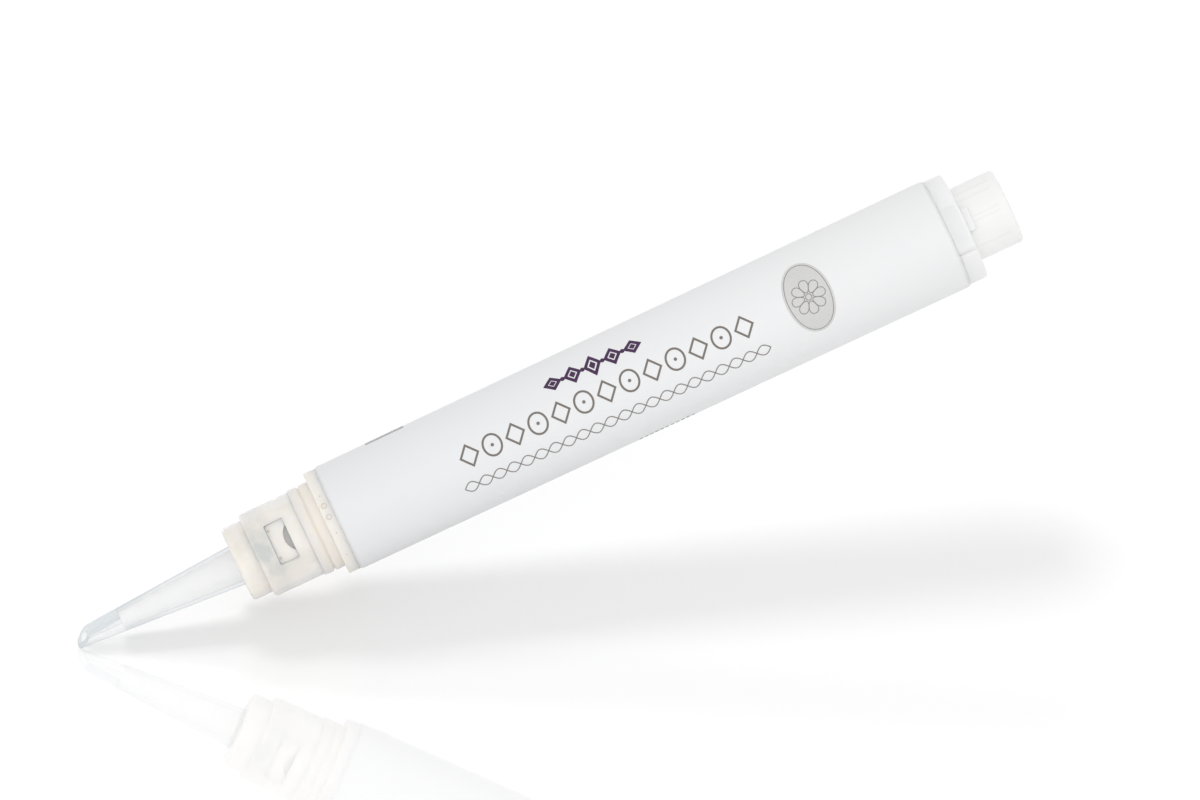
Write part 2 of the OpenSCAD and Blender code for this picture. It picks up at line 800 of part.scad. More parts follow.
module mechanism_sleeve() {
    guide_front = ring_rear + fit_gap;
    color([0.95, 0.95, 0.95])
    union() {
        turned([
            [mech_front, mech_lip_bore_d / 2],
            [nut_flange_front, mech_lip_bore_d / 2],
            [nut_flange_front, mech_bore_d / 2],
            [guide_front, mech_bore_d / 2],
            [guide_front, cam_tube_d / 2 + run_gap],
            [guide_front + guide_len, cam_tube_d / 2 + run_gap],
            [guide_front + guide_len, mech_bore_d / 2],
            [neck_rear, mech_bore_d / 2],
            [neck_rear, mech_neck_d / 2],
            [barrel_rear, mech_neck_d / 2],
            [barrel_rear, mech_d / 2],
            [mech_front, mech_d / 2]
        ]);
        for (side = [0, 180])
            rotate([side, 0, 0])
                intersection() {
                    tube(end_window_front + fit_gap, end_window_rear - fit_gap,
                        (mech_neck_d + end_d) / 2, mech_bore_d);
                    side_box(end_window_front, end_window_rear, end_window_w - 2 * run_gap,
                        0, end_d, end_window_turn);
                }
    }
}

module end_plug() {
    color([0.95, 0.95, 0.94, 0.9])
    difference() {
        union() {
            turned(concat(
                [
                    [barrel_rear, mech_neck_d / 2 + fit_gap],
                    [barrel_rear, end_d / 2]
                ],
                arc(end_rear - end_round, end_d / 2 - end_round, end_round, 90, 0),
                [
                    [end_rear, button_d / 2 + run_gap],
                    [rim_front, button_d / 2 + run_gap],
                    [rim_front, mech_neck_d / 2 + fit_gap]
                ]
            ));
            intersection() {
                tube(rim_front, end_rear + tab_h, button_d + 2 * run_gap + 2 * tab_t,
                    button_d + 2 * run_gap);
                side_box(rim_front, end_rear + tab_h, tab_w, 0, end_d, end_window_turn);
            }
        }
        for (side = [0, 180])
            rotate([side, 0, 0])
                side_box(end_window_front, end_window_rear, end_window_w, 0, end_d, end_window_turn);
        side_box(barrel_rear - overrun, end_rear + overrun, notch_w,
            end_d / 2 - notch_depth, end_d, -notch_turn);
    }
}

module push_button() {
    color([0.95, 0.95, 0.94, 0.7])
    turned(concat(
        [
            [foot_front, button_bore_d / 2],
            [foot_front, foot_d / 2],
            [foot_rear, foot_d / 2],
            [foot_rear, button_d / 2]
        ],
        arc(button_rear - button_round, button_d / 2 - button_round, button_round, 90, 0),
        [
            [button_rear, 0],
            [cup_rear, 0],
            [cup_rear, button_bore_d / 2]
        ]
    ));
}

nozzle();
nozzle_gasket();
tip_holder();
valve_retainer();
check_valve();
front_connector();
connector_seal();
barrel();
label();
piston_seal();
piston_core();
screw_rod();
drive_nut();
return_spring();
ratchet_rotor();
fixed_cam_ring();
cam_tube();
mechanism_sleeve();
end_plug();
push_button();
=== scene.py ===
import json
import math

import bmesh
import bpy
from mathutils import Matrix, Vector


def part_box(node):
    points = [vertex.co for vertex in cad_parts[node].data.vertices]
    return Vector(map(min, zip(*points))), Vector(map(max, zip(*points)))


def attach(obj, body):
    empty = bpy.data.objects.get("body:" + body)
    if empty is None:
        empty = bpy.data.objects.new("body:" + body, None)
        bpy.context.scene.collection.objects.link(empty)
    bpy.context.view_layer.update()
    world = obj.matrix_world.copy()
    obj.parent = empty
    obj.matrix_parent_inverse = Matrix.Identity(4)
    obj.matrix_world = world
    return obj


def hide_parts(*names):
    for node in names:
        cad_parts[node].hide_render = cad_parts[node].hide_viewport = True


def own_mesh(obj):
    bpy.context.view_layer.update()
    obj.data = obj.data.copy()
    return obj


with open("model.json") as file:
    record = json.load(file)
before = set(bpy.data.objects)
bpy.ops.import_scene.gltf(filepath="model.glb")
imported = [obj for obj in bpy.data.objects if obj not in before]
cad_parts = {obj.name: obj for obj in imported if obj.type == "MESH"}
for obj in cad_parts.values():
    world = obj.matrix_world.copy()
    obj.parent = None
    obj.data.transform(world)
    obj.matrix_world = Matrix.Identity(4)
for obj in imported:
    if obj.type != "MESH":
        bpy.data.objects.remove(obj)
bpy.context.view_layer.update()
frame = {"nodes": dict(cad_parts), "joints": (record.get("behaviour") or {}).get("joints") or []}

# A long lens about an arm and a half away, level with the pen. The picture is rolled, so that the
# pen, which lies along X, stands on the end of its nozzle and rises to the right.
mm = 0.001
picture_px = 0.112 * mm
picture_w = 1200
picture_centre = Vector((33.64, 0, -0.45)) * mm
camera_distance = 1.26
rise = math.radians(25.07)
swing = math.radians(1.2)
sensor_w = 36

forward = Vector((math.sin(swing), math.cos(swing), 0))
level = Vector((math.cos(swing), -math.sin(swing), 0))
upright = Vector((0, 0, 1))
right = level * math.cos(rise) - upright * math.sin(rise)
up = level * math.sin(rise) + upright * math.cos(rise)

lens = bpy.data.cameras.new("camera")
lens.sensor_width = sensor_w
lens.lens = sensor_w * camera_distance / (picture_w * picture_px)
camera = bpy.data.objects.new("camera", lens)
camera.matrix_world = Matrix.Translation(picture_centre - forward * camera_distance) @ Matrix(
    (right, up, -forward)).transposed().to_4x4()
bpy.context.scene.collection.objects.link(camera)
bpy.context.scene.camera = camera
bpy.context.scene.view_settings.view_transform = "Standard"


# The barrel is an injection-moulded tube of white polypropylene that holds the remover. Its skin
# has the fine grain of a polished and then lightly blasted mould. The label hides it but for a rim.
class Wire:
    """A socket of a node tree, which can be added, multiplied and compared like a number."""

    def __init__(self, shader, socket):
        self.shader, self.socket = shader, socket

    def __getitem__(self, output):
        return Wire(self.shader, self.socket.node.outputs[output])

    def math(self, operation, *values):
        return self.shader.node("Math", {"operation": operation}, dict(enumerate(values)))

    def __add__(self, other):
        return self.math("ADD", self, other)

    def __sub__(self, other):
        return self.math("SUBTRACT", self, other)

    def __rsub__(self, other):
        return self.math("SUBTRACT", other, self)

    def __mul__(self, other):
        return self.math("MULTIPLY", self, other)

    def __pow__(self, other):
        return self.math("POWER", self, other)

    def __abs__(self):
        return self.math("ABSOLUTE", self)

    def at_least(self, other):
        return self.math("MAXIMUM", self, other)

    def at_most(self, other):
        return self.math("MINIMUM", self, other)

    def __lt__(self, other):
        return self.math("LESS_THAN", self, other)

    __radd__, __rmul__ = __add__, __mul__


class Shader:
    """The node tree of a finish, of a stage piece or of the world."""

    def __init__(self, owner):
        owner.use_nodes = True
        self.owner, self.tree = owner, owner.node_tree
        self.tree.nodes.clear()

    def node(self, kind, settings=None, sockets=None):
        made = self.tree.nodes.new("ShaderNode" + kind)
        for key, value in (settings or {}).items():
            setattr(made, key, value)
        for key, value in (sockets or {}).items():
            socket = made.inputs[key]
            if isinstance(value, Wire):
                self.tree.links.new(value.socket, socket)
            elif socket.type == "RGBA" and len(value) == 3:
                socket.default_value = (*value, 1)
            else:
                socket.default_value = value
        outputs = [o for o in made.outputs if o.enabled]
        return Wire(self, outputs[0]) if outputs else None

    def spot(self):
        """The place on the piece, with its outputs X, Y and Z."""
        return self.node("SeparateXYZ", {}, {"Vector": self.node("TexCoord")["Object"]})

    def noise(self, scale, detail, stretch=(1, 1, 1)):
        """Noise of so many cells a metre. A stretch below 1 makes them longer along its axis."""
        place = self.node("Mapping", {}, {"Vector": self.node("TexCoord")["Object"],
                                          "Scale": stretch})
        return self.node("TexNoise", {}, {"Vector": place, "Scale": scale, "Detail": detail})

    def rim(self, power):
        """From 0 on a face seen straight to 1 at the outline."""
        return self.node("LayerWeight", {}, {"Blend": 0.5})["Facing"] ** power

    def between(self, share, low, high):
        """A colour from low at share 0 to high at share 1."""
        mixed = self.node("Mix", {"data_type": "RGBA"}, {0: share, 6: low, 7: high})
        return Wire(self, mixed.socket.node.outputs[2])

    def skin(self, relief=None, depth=0.0, **sockets):
        """The finished material, with a relief of the given depth."""
        named = {key.replace("_", " "): value for key, value in sockets.items()}
        if relief is not None:
            named["Normal"] = self.node("Bump", {}, {"Height": relief, "Distance": depth,
                                                     "Strength": 1.0})
        shader = self.node("BsdfPrincipled", {}, named)
        self.node("OutputMaterial", {}, {"Surface": shader})
        return self.owner


def finish_of(name):
    return Shader(bpy.data.materials.new(name))


def moulded_white():
    m = finish_of("moulded_white")
    cloud = m.noise(180, 2)
    grain = m.noise(9000, 3)
    return m.skin(relief=grain, depth=0.004 * mm,
                  Base_Color=m.between(cloud, (0.87, 0.87, 0.865), (0.92, 0.92, 0.915)),
                  Roughness=0.34 + 0.14 * grain, IOR=1.49,
                  Subsurface_Weight=0.25, Subsurface_Radius=(1.0, 0.95, 0.9),
                  Subsurface_Scale=0.6 * mm)


def dress(node, material):
    """Gives a node of the construction its material."""
    slots = frame["nodes"][node].material_slots
    for slot in slots:
        slot.material = material
    if not slots:
        frame["nodes"][node].data.materials.append(material)


white = moulded_white()
dress("barrel", white)


# The click unit: a fixed nut, a toothed rotor, a fixed toothed ring and a toothed tube under the
# button, in a sleeve pressed into the barrel. The tube is moulded in milky polypropylene, the rest
# in acetal, which slides well.
def acetal(name, tint):
    m = finish_of(name)
    cloud = m.noise(260, 2)
    flow = m.noise(2600, 4, stretch=(0.15, 1, 1))
    pale = tuple(0.86 * c for c in tint)
    return m.skin(relief=flow, depth=0.003 * mm, Base_Color=m.between(cloud, pale, tint),
                  Roughness=0.26 + 0.16 * flow, IOR=1.48,
                  Subsurface_Weight=0.2, Subsurface_Radius=(1.0, 0.95, 0.85),
                  Subsurface_Scale=0.5 * mm)


def milky(name, tint):
    m = finish_of(name)
    cloud = m.noise(420, 3)
    drag = m.noise(3000, 3, stretch=(0.2, 1, 1))
    pale = tuple(0.965 * c for c in tint)
    return m.skin(relief=drag, depth=0.003 * mm, Base_Color=m.between(cloud, pale, tint),
                  Roughness=0.28 + 0.1 * drag, IOR=1.49, Subsurface_Weight=0.6,
                  Subsurface_Radius=(1.0, 0.97, 0.92), Subsurface_Scale=1.0 * mm)


dress("mechanism_sleeve", acetal("sleeve_white", (0.93, 0.93, 0.92)))
dress("fixed_cam_ring", acetal("ring_ivory", (0.9, 0.89, 0.84)))
dress("drive_nut", acetal("nut_grey", (0.62, 0.64, 0.67)))
dress("ratchet_rotor", acetal("rotor_blue", (0.42, 0.55, 0.74)))
dress("cam_tube", milky("tube_natural", (0.97, 0.965, 0.95)))


# The return spring is wound from bright drawn steel wire of half a millimetre. It stands between
# the nut's flange and the rotor's wheel. In the pen it shortens by the button's travel; here it
# keeps its rest length.
def drawn_wire():
    m = finish_of("drawn_wire")
    draw = m.noise(6000, 4, stretch=(1, 1, 0.2))
    return m.skin(relief=draw, depth=0.002 * mm,
                  Base_Color=m.between(draw, (0.56, 0.57, 0.59), (0.74, 0.75, 0.77)),
                  Metallic=1.0, Roughness=0.2 + 0.2 * draw, Anisotropic=0.3)


wire_d = 0.5 * mm
spring_turns = 5
closed_share = 0.3
wire_sides = 12
rings_per_turn = 40
spring_low, spring_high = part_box("return_spring")


def piece(name, mesh, material, body, replaced=(), crease=35):
    """A piece from a bmesh, with its finish, riding on its body."""
    data = bpy.data.meshes.new(name)
    bmesh.ops.recalc_face_normals(mesh, faces=mesh.faces)
    mesh.to_mesh(data)
    mesh.free()
    for m in material if isinstance(material, (list, tuple)) else [material]:
        data.materials.append(m)
    data.polygons.foreach_set("use_smooth", [True] * len(data.polygons))
    data.set_sharp_from_angle(angle=math.radians(crease))
    made = bpy.data.objects.new(name, data)
    bpy.context.scene.collection.objects.link(made)
    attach(made, body)
    if replaced:
        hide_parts(*replaced)
    return made


def skinned(rings, closed=False):
    """A bmesh from rings of points, with its ends capped unless the rings close on themselves."""
    mesh = bmesh.new()
    made = [[mesh.verts.new(p) for p in ring] for ring in rings]
    sides = len(made[0])
    pairs = zip(made, made[1:] + made[:1]) if closed else zip(made, made[1:])
    for a, b in pairs:
        for j in range(sides):
            k = (j + 1) % sides
            mesh.faces.new((a[j], a[k], b[k], b[j]))
    if not closed:
        mesh.faces.new(made[0])
        mesh.faces.new(made[-1])
    return mesh


def around(x, r, angle):
    """The point at radius r and x along the pen, turned up from the side that faces the camera."""
    return Vector((x, -r * math.cos(angle), r * math.sin(angle)))


def wound_spring():
    """The wire as one tube, whose first and last turns lie closer than the others."""
    x0, x1 = spring_low.x + wire_d / 2, spring_high.x - wire_d / 2
    coil_r = spring_high.z - wire_d / 2
    count = spring_turns * rings_per_turn
    rings = []
    for i in range(count + 1):
        u = i / count
        angle = 2 * math.pi * spring_turns * u
        x = x0 + (x1 - x0) * (u - closed_share * math.sin(2 * math.pi * u) / (2 * math.pi))
        ring = []
        for j in range(wire_sides):
            b = 2 * math.pi * j / wire_sides
            spot = Vector((0, math.cos(angle), math.sin(angle))) * (coil_r + wire_d / 2 * math.cos(b))
            ring.append(spot + Vector((x + wire_d / 2 * math.sin(b), 0, 0)))
        rings.append(ring)
    return skinned(rings)


button_travel = next(j for j in frame["joints"] if j["name"] == "button_press")["range_m"][1]
spring = piece("wound_return_spring", wound_spring(), drawn_wire(), "pen_body",
               replaced=["return_spring"])
1 - button_travel / (spring_high.x - spring_low.x)
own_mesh(spring)


# The screw rod, its piston and the piston's soft seal push the remover forward. The rod is moulded
# in acetal, the piston in white polypropylene and the seal in clear silicone, which looks greyish.
def silicone():
    m = finish_of("silicone")
    cloud = m.noise(700, 3)
    return m.skin(relief=cloud, depth=0.01 * mm,
                  Base_Color=m.between(cloud, (0.78, 0.79, 0.8), (0.86, 0.87, 0.87)),
                  Roughness=0.42 + 0.15 * cloud, IOR=1.41, Transmission_Weight=0.25,
                  Subsurface_Weight=0.4, Subsurface_Radius=(1.0, 0.95, 0.9),
                  Subsurface_Scale=1.0 * mm)


soft = silicone()
dress("screw_rod", acetal("rod_white", (0.93, 0.93, 0.92)))
dress("piston_core", white)
dress("piston_seal", soft)


# The end plug is a ring of milky polypropylene that closes the barrel. Two windows, which a thin
# web closes, take the sleeve's lugs. A tab stands beside the button, and the rim has a small notch.
arc_steps = 5
turned_sides = 144
on_axis = 1e-7
same_x = 0.02 * mm
past = 1.0 * mm


def rounded(corners):
    """An outline of (x, r) points from corners of (x, r) or (x, r, radius)."""
    points = []
    for i, corner in enumerate(corners):
        here = Vector(corner[:2])
        if len(corner) < 3:
            points.append(here)
            continue
        back = (Vector(corners[i - 1][:2]) - here).normalized()
        on = (Vector(corners[(i + 1) % len(corners)][:2]) - here).normalized()
        half = back.angle(on) / 2
        centre = here + (back + on).normalized() * corner[2] / math.sin(half)
        first = math.atan2(*reversed(here + back * corner[2] / math.tan(half) - centre))
        sweep = math.copysign(math.pi - 2 * half, on.cross(back))
        for step in range(arc_steps + 1):
            angle = first + sweep * step / arc_steps
            points.append(centre + Vector((math.cos(angle), math.sin(angle))) * corner[2])
    return points


def turned(outline):
    """A bmesh turned about the pen's axis from a closed outline of (x, r) points."""
    mesh = bmesh.new()
    rings = []
    for x, r in outline:
        if r < on_axis:
            rings.append([mesh.verts.new((x, 0, 0))] * turned_sides)
        else:
            rings.append([mesh.verts.new(around(x, r, 2 * math.pi * j / turned_sides))
                          for j in range(turned_sides)])
    for a, b in zip(rings, rings[1:] + rings[:1]):
        for j in range(turned_sides):
            k = (j + 1) % turned_sides
            corners = list(dict.fromkeys((a[j], a[k], b[k], b[j])))
            if len(corners) > 2:
                mesh.faces.new(corners)
    return mesh


def loose(name, mesh):
    """An object that is only used to cut or join another."""
    data = bpy.data.meshes.new(name)
    bmesh.ops.recalc_face_normals(mesh, faces=mesh.faces)
    mesh.to_mesh(data)
    mesh.free()
    made = bpy.data.objects.new(name, data)
    bpy.context.scene.collection.objects.link(made)
    return made


def worked(mesh, *steps):
    """A bmesh cut by or joined with others, one (operation, bmesh) step after the other."""
    stock = loose("stock", mesh)
    tools = [loose("tool", tool) for _, tool in steps]
    for (operation, _), tool in zip(steps, tools):
        modifier = stock.modifiers.new(operation, "BOOLEAN")
        modifier.operation, modifier.object, modifier.solver = operation, tool, "EXACT"
    shaped = bmesh.new()
    shaped.from_object(stock, bpy.context.evaluated_depsgraph_get())
    for made in [stock, *tools]:
        data = made.data
        bpy.data.objects.remove(made)
        bpy.data.meshes.remove(data)
    return shaped


def block(x0, x1, width, r0, r1, turn, rounding=0.0):
    """A bar that stands out at the camera's side between two radii, with round corners if told."""
    corners = [(x0, -width / 2), (x1, -width / 2), (x1, width / 2), (x0, width / 2)]
    outline = rounded([(*corner, rounding) for corner in corners] if rounding else corners)
    spin = Matrix.Rotation(-turn, 3, "X")
    return skinned([[spin @ Vector((x, -r, z)) for x, z in outline] for r in (r0, r1)])


def peg(x, off, r, r0, r1, turn, sides=40):
    """A round peg that stands out at the camera's side between two radii, off the middle line."""
    spin = Matrix.Rotation(-turn, 3, "X")
    ring = [(x + r * math.cos(2 * math.pi * i / sides), off + r * math.sin(2 * math.pi * i / sides))
            for i in range(sides)]
    return skinned([[spin @ Vector((a, -depth, b)) for a, b in ring] for depth in (r0, r1)])


def reach(node, x):
    """The largest radius that a CAD node has where it has points at x."""
    spots = frame["nodes"][node].data.vertices
    return max(math.hypot(v.co.y, v.co.z) for v in spots if abs(v.co.x - x) < same_x)


plug_low, plug_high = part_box("end_plug")
button_low, button_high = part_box("push_button")
barrel_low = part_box("barrel")[0]
tab_h, tab_t, tab_w = 0.9 * mm, 0.7 * mm, 2.7 * mm
rim_t, rim_round = 0.5 * mm, 0.25 * mm
end_window_len, end_window_w, end_window_round = 1.3 * mm, 4.2 * mm, 0.1 * mm
end_window_turn = math.radians(5)
window_depth, lug_top = 0.1 * mm, 5.7 * mm
notch_w, notch_depth, notch_turn = 0.45 * mm, 0.3 * mm, math.radians(-27)
edge = 0.06 * mm
run_gap = 0.1 * mm
foot_step = 0.225 * mm

end_rear = plug_high.x - tab_h
end_r = reach("end_plug", plug_low.x)
button_r = reach("push_button", button_low.x) - foot_step
end_bore_r = button_r + run_gap
neck_r = 5.18 * mm
rim_front = end_rear - rim_t


def end_ring():
    ring = turned(rounded([
        (plug_low.x, neck_r, edge), (plug_low.x, end_r, 2 * edge),
        (end_rear, end_r, rim_round), (end_rear, end_bore_r, edge),
        (rim_front, end_bore_r, edge), (rim_front, neck_r)]))
    tab_outer = turned(rounded([
        (rim_front, end_bore_r), (rim_front, end_bore_r + tab_t),
        (plug_high.x, end_bore_r + tab_t, 3 * edge), (plug_high.x, end_bore_r, edge)]))
    tab = worked(tab_outer, ("INTERSECT", block(
        rim_front - past, plug_high.x + past, tab_w, 0, end_r, end_window_turn)))
    cuts = []
    for r0, r1 in ((0, lug_top), (end_r - window_depth, end_r + past)):
        disc = turned([(plug_low.x - past, r0), (plug_high.x, r0), (plug_high.x, r1),
                       (plug_low.x - past, r1)])
        for side in (0, math.pi):
            cuts.append(("DIFFERENCE", worked(disc.copy(), ("INTERSECT", block(
                rim_front - end_window_len, rim_front, end_window_w, 0, end_r + 2 * past,
                end_window_turn + side, end_window_round)))))
        disc.free()
    notch = block(plug_low.x - past, end_rear + past, notch_w, end_r - notch_depth, end_r + past,
                  notch_turn)
    return worked(ring, ("UNION", tab), *cuts, ("DIFFERENCE", notch))


piece("end_ring", end_ring(), milky("plug_milky", (0.95, 0.95, 0.948)), "pen_body",
      replaced=["end_plug"])


# The push button is a cup of milky polypropylene. A foot inside the end plug keeps it in, and
# where the toothed tube under it shades its wall, faint lines of painted shade are in the finish.
foot_len = 0.95 * mm
foot_r = reach("push_button", button_low.x)
button_bore_r = 3.35 * mm
button_wall_end = 1.1 * mm
button_round, button_bore_round = 0.4 * mm, 0.2 * mm
shade_line_turns = [math.radians(a) for a in (52, 37, 6, -1, -41)]
shade_line_w = math.radians(3.5)
shade_line_depth = 0.4


def button_skin():
    m = finish_of("button_milky")
    cloud = m.noise(420, 3)
    drag = m.noise(3000, 3, stretch=(0.2, 1, 1))
    spot = m.spot()
    angle = spot["Z"].math("ARCTAN2", spot["Z"], 0 - spot["Y"])
    inside = spot["X"] < button_high.x - button_wall_end
    # Faint grey lines of painted shade, at the turns where the tube under the wall shades it.
    lines = 0
    for turn in shade_line_turns:
        off = (angle - turn) * (1 / shade_line_w)
        lines = (1 - off * off).at_least(0.0) + lines
    shade = inside * shade_line_depth * lines + 0.08 * cloud
    return m.skin(relief=drag, depth=0.003 * mm,
                  Base_Color=m.between(shade, (1.0, 0.995, 0.985), (0.87, 0.87, 0.88)),
                  Roughness=0.28 + 0.1 * drag, IOR=1.45, Subsurface_Weight=0.5,
                  Subsurface_Radius=(1.0, 0.98, 0.95), Subsurface_Scale=0.3 * mm)


cup = turned(rounded([
    (button_low.x, button_bore_r, edge), (button_low.x, foot_r, edge),
    (button_low.x + foot_len, foot_r, edge), (button_low.x + foot_len, button_r),
    (button_high.x, button_r, button_round), (button_high.x, 0),
    (button_high.x - button_wall_end, 0),
    (button_high.x - button_wall_end, button_bore_r, button_bore_round)]))
piece("button_cup", cup, button_skin(), "button", replaced=["push_button"])


# The front connector is moulded in natural polypropylene, which looks like thin cream, and pressed
# into the barrel with an O-ring. Two snap lugs fill the tip holder's windows, each with a scoop and
# two pin marks. The small rings and dots on its flange are the mould's marks.
def natural_plastic():
    m = finish_of("natural_plastic")
    cloud = m.noise(300, 3)
    drag = m.noise(2400, 4, stretch=(0.3, 1, 1))
    return m.skin(relief=drag, depth=0.004 * mm,
                  Base_Color=m.between(cloud, (0.895, 0.835, 0.77), (0.96, 0.9, 0.84)),
                  Roughness=0.3 + 0.14 * drag, IOR=1.49,
                  Subsurface_Weight=0.7, Subsurface_Radius=(1.0, 0.85, 0.6),
                  Subsurface_Scale=1.4 * mm)


def rubber():
    m = finish_of("black_rubber")
    grain = m.noise(5000, 4)
    return m.skin(relief=grain, depth=0.006 * mm,
                  Base_Color=m.between(grain, (0.018, 0.018, 0.019), (0.035, 0.035, 0.036)),
                  Roughness=0.55 + 0.2 * grain)


connector_low, connector_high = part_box("front_connector")
holder_low, holder_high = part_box("tip_holder")
flange_len = barrel_low.x
flange_r = reach("front_connector", 0)
root_r = 5.175 * mm
spigot_r = reach("front_connector", connector_low.x)
detent_w, detent_depth, detent_round = 0.3 * mm, 0.2 * mm, 0.03 * mm
root_front = holder_high.x
lug_front, lug_rear = -6.485 * mm, -4.215 * mm
lug_w, lug_h, lug_toe = 4.77 * mm, 0.96 * mm, 0.72 * mm
scoop_r, scoop_depth, scoop_floor = 1.95 * mm, 0.72 * mm, 4.22 * mm
scoop_lip, hair = 0.3 * mm, 0.01 * mm
pin_x, pin_off, pin_r, pin_floor = -6.2 * mm, 1.65 * mm, 0.17 * mm, 4.2 * mm
window_turn = math.radians(4)
pocket_r = 2.48 * mm
valve_seat = -4.45 * mm
channel_r = 1.3 * mm
cup_r = 3.9 * mm
plug_r = 5.37 * mm
ink_step = 0.35 * mm
mitre_limit = 0.35
ring_sides, dot_sides = 20, 12


def connector():
    groove = root_front / 2
    body = turned(rounded([
        (connector_low.x, pocket_r, edge), (valve_seat, pocket_r), (valve_seat, channel_r),
        (flange_len - (cup_r - channel_r), channel_r), (flange_len, cup_r),
        (connector_high.x, cup_r, edge), (connector_high.x, plug_r, 3 * edge),
        (flange_len, plug_r), (flange_len, flange_r, edge), (0, flange_r, 3 * edge),
        (0, root_r), (groove + detent_w / 2, root_r, detent_round),
        (groove + detent_w / 2, root_r - detent_depth),
        (groove - detent_w / 2, root_r - detent_depth),
        (groove - detent_w / 2, root_r, detent_round),
        (root_front, root_r, edge), (root_front, spigot_r),
        (connector_low.x, spigot_r, 2 * edge)]))
    lug = turned([
        (lug_front, spigot_r - lug_h), (lug_rear, spigot_r - lug_h), (lug_rear, spigot_r + lug_h),
        ((lug_front + lug_rear) / 2, spigot_r + lug_h), (lug_front, spigot_r + lug_toe)])
    steps = []
    for side in (0, math.pi):
        turn = window_turn + side
        steps.append(("UNION", worked(
            lug.copy(),
            ("INTERSECT", block(lug_front - past, lug_rear + past, lug_w, 0, root_r + past, turn)))))
        steps.append(("DIFFERENCE", worked(
            peg(lug_rear + scoop_r - scoop_depth, 0, scoop_r, scoop_floor, root_r, turn),
            ("INTERSECT", block(lug_front, lug_rear + hair, lug_w, 0, root_r, turn)))))
        steps += [("DIFFERENCE", peg(pin_x, off, pin_r, pin_floor, root_r + past, turn))
                  for off in (-pin_off, pin_off)]
    lug.free()
    return worked(body, *steps)


def stroke(path, width, closed=False):
    """The two edges of a drawn line, as pairs of (x, v) points."""
    fine = []
    steps = zip(path, path[1:] + path[:1]) if closed else zip(path, path[1:])
    for a, b in steps:
        a, b = Vector(a), Vector(b)
        count = max(1, math.ceil((b - a).length / ink_step))
        fine += [a.lerp(b, i / count) for i in range(count)]
    if not closed:
        fine.append(Vector(path[-1]))
    pairs = []
    last = len(fine) - 1
    for i, here in enumerate(fine):
        before = fine[i - 1] if i or closed else here
        after = fine[(i + 1) % len(fine)] if i < last or closed else here
        into = (here - before) if (here - before).length else (after - here)
        out = (after - here) if (after - here).length else into
        into, out = into.normalized(), out.normalized()
        side = Vector((-(into + out).y, (into + out).x)).normalized()
        wide = width / 2 / max(mitre_limit, side.dot(Vector((-out.y, out.x))))
        pairs.append((here + side * wide, here - side * wide))
    return pairs, closed


def filled(outline, centre):
    """A filled figure that its centre sees whole, as rings that shrink to the centre."""
    centre = Vector(centre)
    reach_out = max((Vector(p) - centre).length for p in outline)
    count = max(3, math.ceil(reach_out / ink_step))
    return [[centre.lerp(Vector(p), 1 - i / count) for p in outline] for i in range(count)]


def raised(drawings, radius_at, proud):
    """A bmesh of drawn lines and filled figures, as thin solids on a round surface."""
    def spot(p, lift):
        r = radius_at(p[0])
        return around(p[0], r + lift, p[1] / r)
    mesh = bmesh.new()
    for drawn in drawings:
        if isinstance(drawn, tuple):
            pairs, closed = drawn
            rings = [[spot(p, lift) for p, lift in ((a, proud), (b, proud), (b, 0), (a, 0))]
                     for a, b in pairs]
            made = skinned(rings, closed)
        else:
            rings = [[spot(p, 0) for p in drawn[0]]]
            rings += [[spot(p, proud) for p in ring] for ring in drawn]
            made = skinned(rings)
        data = bpy.data.meshes.new("drawn")
        made.to_mesh(data)
        made.free()
        mesh.from_mesh(data)
        bpy.data.meshes.remove(data)
    return mesh


def circle(x, v, rx, rv, count=24):
    turns = [2 * math.pi * i / count for i in range(count)]
    return [(x + rx * math.cos(a), v + rv * math.sin(a)) for a in turns]


natural = natural_plastic()
neck = piece("connector", connector(), [natural, soft], "pen_body",
             replaced=["front_connector"])
# The scoop's faces take the grey silicone finish: painted shade that greys the shadow in the scoop.
for face in neck.data.polygons:
    off_axis = math.hypot(face.center.y, face.center.z)
    in_scoop = lug_rear - scoop_depth - edge < face.center.x < lug_rear + edge
    if in_scoop and pocket_r + edge < off_axis < scoop_floor + scoop_lip:
        face.material_index = 1
dress("connector_seal", rubber())


def mark_skin():
    m = finish_of("mould_mark")
    speck = m.noise(3000, 3)
    return m.skin(relief=speck, depth=0.002 * mm,
                  Base_Color=m.between(speck, (0.7, 0.61, 0.57), (0.8, 0.71, 0.67)),
                  Roughness=0.35 + 0.1 * speck, IOR=1.49)


mark_x, mark_line, mark_t = 0.66 * mm, 0.11 * mm, 0.012 * mm
mark_ring_r, mark_dot_r = 0.29 * mm, 0.1 * mm
ring_places = [math.radians(a) * flange_r for a in (5.1, 18.0)]
dot_places = [math.radians(a) * flange_r for a in (-42.0, -13.3, 30.1)]
marks = [stroke(circle(mark_x, v, mark_ring_r, mark_ring_r, ring_sides), mark_line, True)
         for v in ring_places]
marks += [filled(circle(mark_x, v, mark_dot_r, mark_dot_r, dot_sides), (mark_x, v))
          for v in dot_places]
piece("mould_marks", raised(marks, lambda x: flange_r, mark_t), mark_skin(), "pen_body",
      crease=30)


# The valve under the tip holder is a silicone duckbill, held by a small pressed-in ring. It opens
# when the piston pushes and keeps the pen from leaking when it doesn't.
dress("check_valve", soft)
dress("valve_retainer", natural)
dress("nozzle_gasket", soft)
